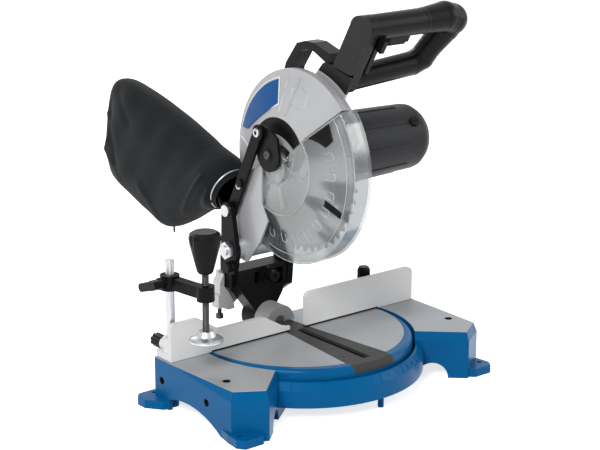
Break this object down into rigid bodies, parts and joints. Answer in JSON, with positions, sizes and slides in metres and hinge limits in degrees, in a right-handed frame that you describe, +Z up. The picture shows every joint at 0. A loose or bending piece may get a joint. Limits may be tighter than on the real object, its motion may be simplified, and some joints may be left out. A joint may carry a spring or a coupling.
{
  "type": "compound mitre saw",
  "caption": "Compact mitre saw with turntable, tilting chop head, clear swinging blade guard, D-handle, hold-down clamp and dust bag.",
  "frame": {"origin": "middle of the four bench bolt holes, on the bench plane", "axes": "+X to the operator's right along the fence, +Y to the back, +Z up"},
  "size_m": [0.4053, 0.524, 0.4455],
  "materials": {
    "blue_paint": "satin",
    "fence_paint": "satin",
    "table_grey": "satin",
    "insert_grey": "matte",
    "cast_silver": "satin",
    "black_casting": "satin",
    "black_plastic": "satin",
    "grey_plastic": "satin",
    "zinc_steel": "bright",
    "dark_steel": "blackened",
    "blade_steel": "ground",
    "clear_guard": "clear",
    "panel_blue": "gloss",
    "bag_cloth": "woven",
    "copper_core": "raw"
  },
  "bodies": {
    "base": {"base_casting": "blue_paint", "fence_left": "fence_paint", "fence_right": "fence_paint", "fence_screws": "zinc_steel", "turntable_bolt": "zinc_steel"},
    "table": {"turntable": "table_grey", "table_insert": "insert_grey", "insert_screws": "dark_steel", "bevel_bolt": "zinc_steel"},
    "tilt": {"tilt_arm": "black_casting", "tilt_bracket": "cast_silver", "bevel_stop_screw": "dark_steel", "pivot_shaft": "zinc_steel", "return_spring": "zinc_steel", "laser_module": "black_plastic", "link_pin": "zinc_steel"},
    "head": {"head_casting": "cast_silver", "guard_panel": "panel_blue", "motor_housing": "grey_plastic", "motor_end_cap": "grey_plastic", "brush_caps": "black_plastic", "brushes": "dark_steel", "stator": "copper_core", "rotor_bearings": "zinc_steel", "arbor_bearings": "zinc_steel", "handle": "black_plastic", "handle_cap": "grey_plastic", "switch_body": "black_plastic", "carry_handle": "black_plastic", "strap_screws": "dark_steel", "dust_port": "black_plastic", "bag_ring": "grey_plastic", "dust_bag": "bag_cloth"},
    "blade": {"arbor": "zinc_steel", "driven_gear": "zinc_steel", "inner_flange": "zinc_steel", "outer_flange": "zinc_steel", "blade_bolt": "dark_steel", "saw_blade": "blade_steel"},
    "rotor": {"armature": "copper_core", "fan": "black_plastic"},
    "guard": {"lower_guard": "clear_guard", "guard_cover": "black_plastic"},
    "link": {"guard_link": "black_casting"},
    "trigger": {"trigger": "grey_plastic"},
    "guard_release": {"guard_release": "grey_plastic"},
    "lock_pin": {"head_lock_pin": "black_plastic"},
    "fence_knob": {"fence_knob": "black_plastic"},
    "post": {"clamp_post": "zinc_steel"},
    "thumbscrew": {"post_thumbscrew": "black_plastic"},
    "arm": {"clamp_arm": "black_casting"},
    "arm_knob": {"arm_knob": "black_plastic"},
    "pad": {"clamp_pad": "zinc_steel"},
    "spindle": {"clamp_spindle": "dark_steel", "clamp_knob": "black_plastic"}
  },
  "joints": [
    {"name": "mitre", "type": "hinge", "parent": "base", "child": "table", "pos_m": [0, 0.032, 0], "axis": [0, 0, -1], "range_deg": [-45, 45]},
    {"name": "bevel", "type": "hinge", "parent": "table", "child": "tilt", "pos_m": [0, 0.114, 0.057], "axis": [0, -1, 0], "range_deg": [0, 30]},
    {"name": "chop", "type": "hinge", "parent": "tilt", "child": "head", "pos_m": [0, 0.112, 0.1485], "axis": [1, 0, 0], "range_deg": [0, 60], "stiffness_Nm_per_rad": 4, "springref_deg": -114.59},
    {"name": "blade_spin", "type": "hinge", "parent": "head", "child": "blade", "pos_m": [0, 0.0435, 0.2604], "axis": [1, 0, 0], "continuous": true},
    {"name": "rotor_spin", "type": "hinge", "parent": "head", "child": "rotor", "pos_m": [0, 0.025, 0.2744], "axis": [1, 0, 0], "continuous": true},
    {"name": "guard_turn", "type": "hinge", "parent": "head", "child": "guard", "pos_m": [0, 0.0435, 0.2604], "axis": [1, 0, 0], "range_deg": [-138.2, 0]},
    {"name": "link_turn", "type": "hinge", "parent": "tilt", "child": "link", "pos_m": [0, 0.116, 0.1958], "axis": [1, 0, 0], "range_deg": [0, 97.8]},
    {"name": "trigger_pull", "type": "slide", "parent": "head", "child": "trigger", "axis": [0, -0.5021, 0.8648], "range_m": [0, 0.004], "stiffness_N_per_m": 500, "springref_m": -0.003},
    {"name": "release_press", "type": "hinge", "parent": "head", "child": "guard_release", "pos_m": [0.035, -0.05334, 0.41554], "axis": [1, 0, 0], "range_deg": [0, 8], "stiffness_Nm_per_rad": 0.2, "springref_deg": -8.59},
    {"name": "lock_pin_pull", "type": "slide", "parent": "tilt", "child": "lock_pin", "axis": [-1, 0, 0], "range_m": [0, 0.006]},
    {"name": "fence_knob_turn", "type": "hinge", "parent": "base", "child": "fence_knob", "pos_m": [0.12, 0.063, 0.057], "axis": [0, 0, 1], "range_deg": [-180, 180]},
    {"name": "post_turn", "type": "hinge", "parent": "base", "child": "post", "pos_m": [-0.172, 0.058, 0.057], "axis": [0, 0, -1], "range_deg": [-20, 100]},
    {"name": "thumbscrew_turn", "type": "hinge", "parent": "base", "child": "thumbscrew", "pos_m": [-0.172, 0.073, 0.071], "axis": [0, 1, 0], "range_deg": [-180, 180]},
    {"name": "arm_slide", "type": "slide", "parent": "post", "child": "arm", "axis": [0, 0, 1], "range_m": [-0.033, 0.015]},
    {"name": "arm_knob_turn", "type": "hinge", "parent": "arm", "child": "arm_knob", "pos_m": [-0.19, 0.058, 0.147], "axis": [1, 0, 0], "range_deg": [-180, 180]},
    {"name": "clamp_screw", "type": "slide", "parent": "arm", "child": "pad", "axis": [0, 0, -1], "range_m": [-0.025, 0.013]},
    {"name": "spindle_turn", "type": "hinge", "parent": "pad", "child": "spindle", "pos_m": [-0.165, 0, 0.097], "axis": [0, 0, 1], "range_deg": [-3010, 1570]}
  ],
  "couplings": [
    {"joint": "rotor_spin", "follows": "blade_spin", "ratio": -3.4},
    {"joint": "guard_turn", "follows": "chop", "ratio": -2.3},
    {"joint": "link_turn", "follows": "chop", "ratio": 1.6259},
    {"joint": "spindle_turn", "follows": "clamp_screw", "rad_per_m": 2094.4}
  ]
}
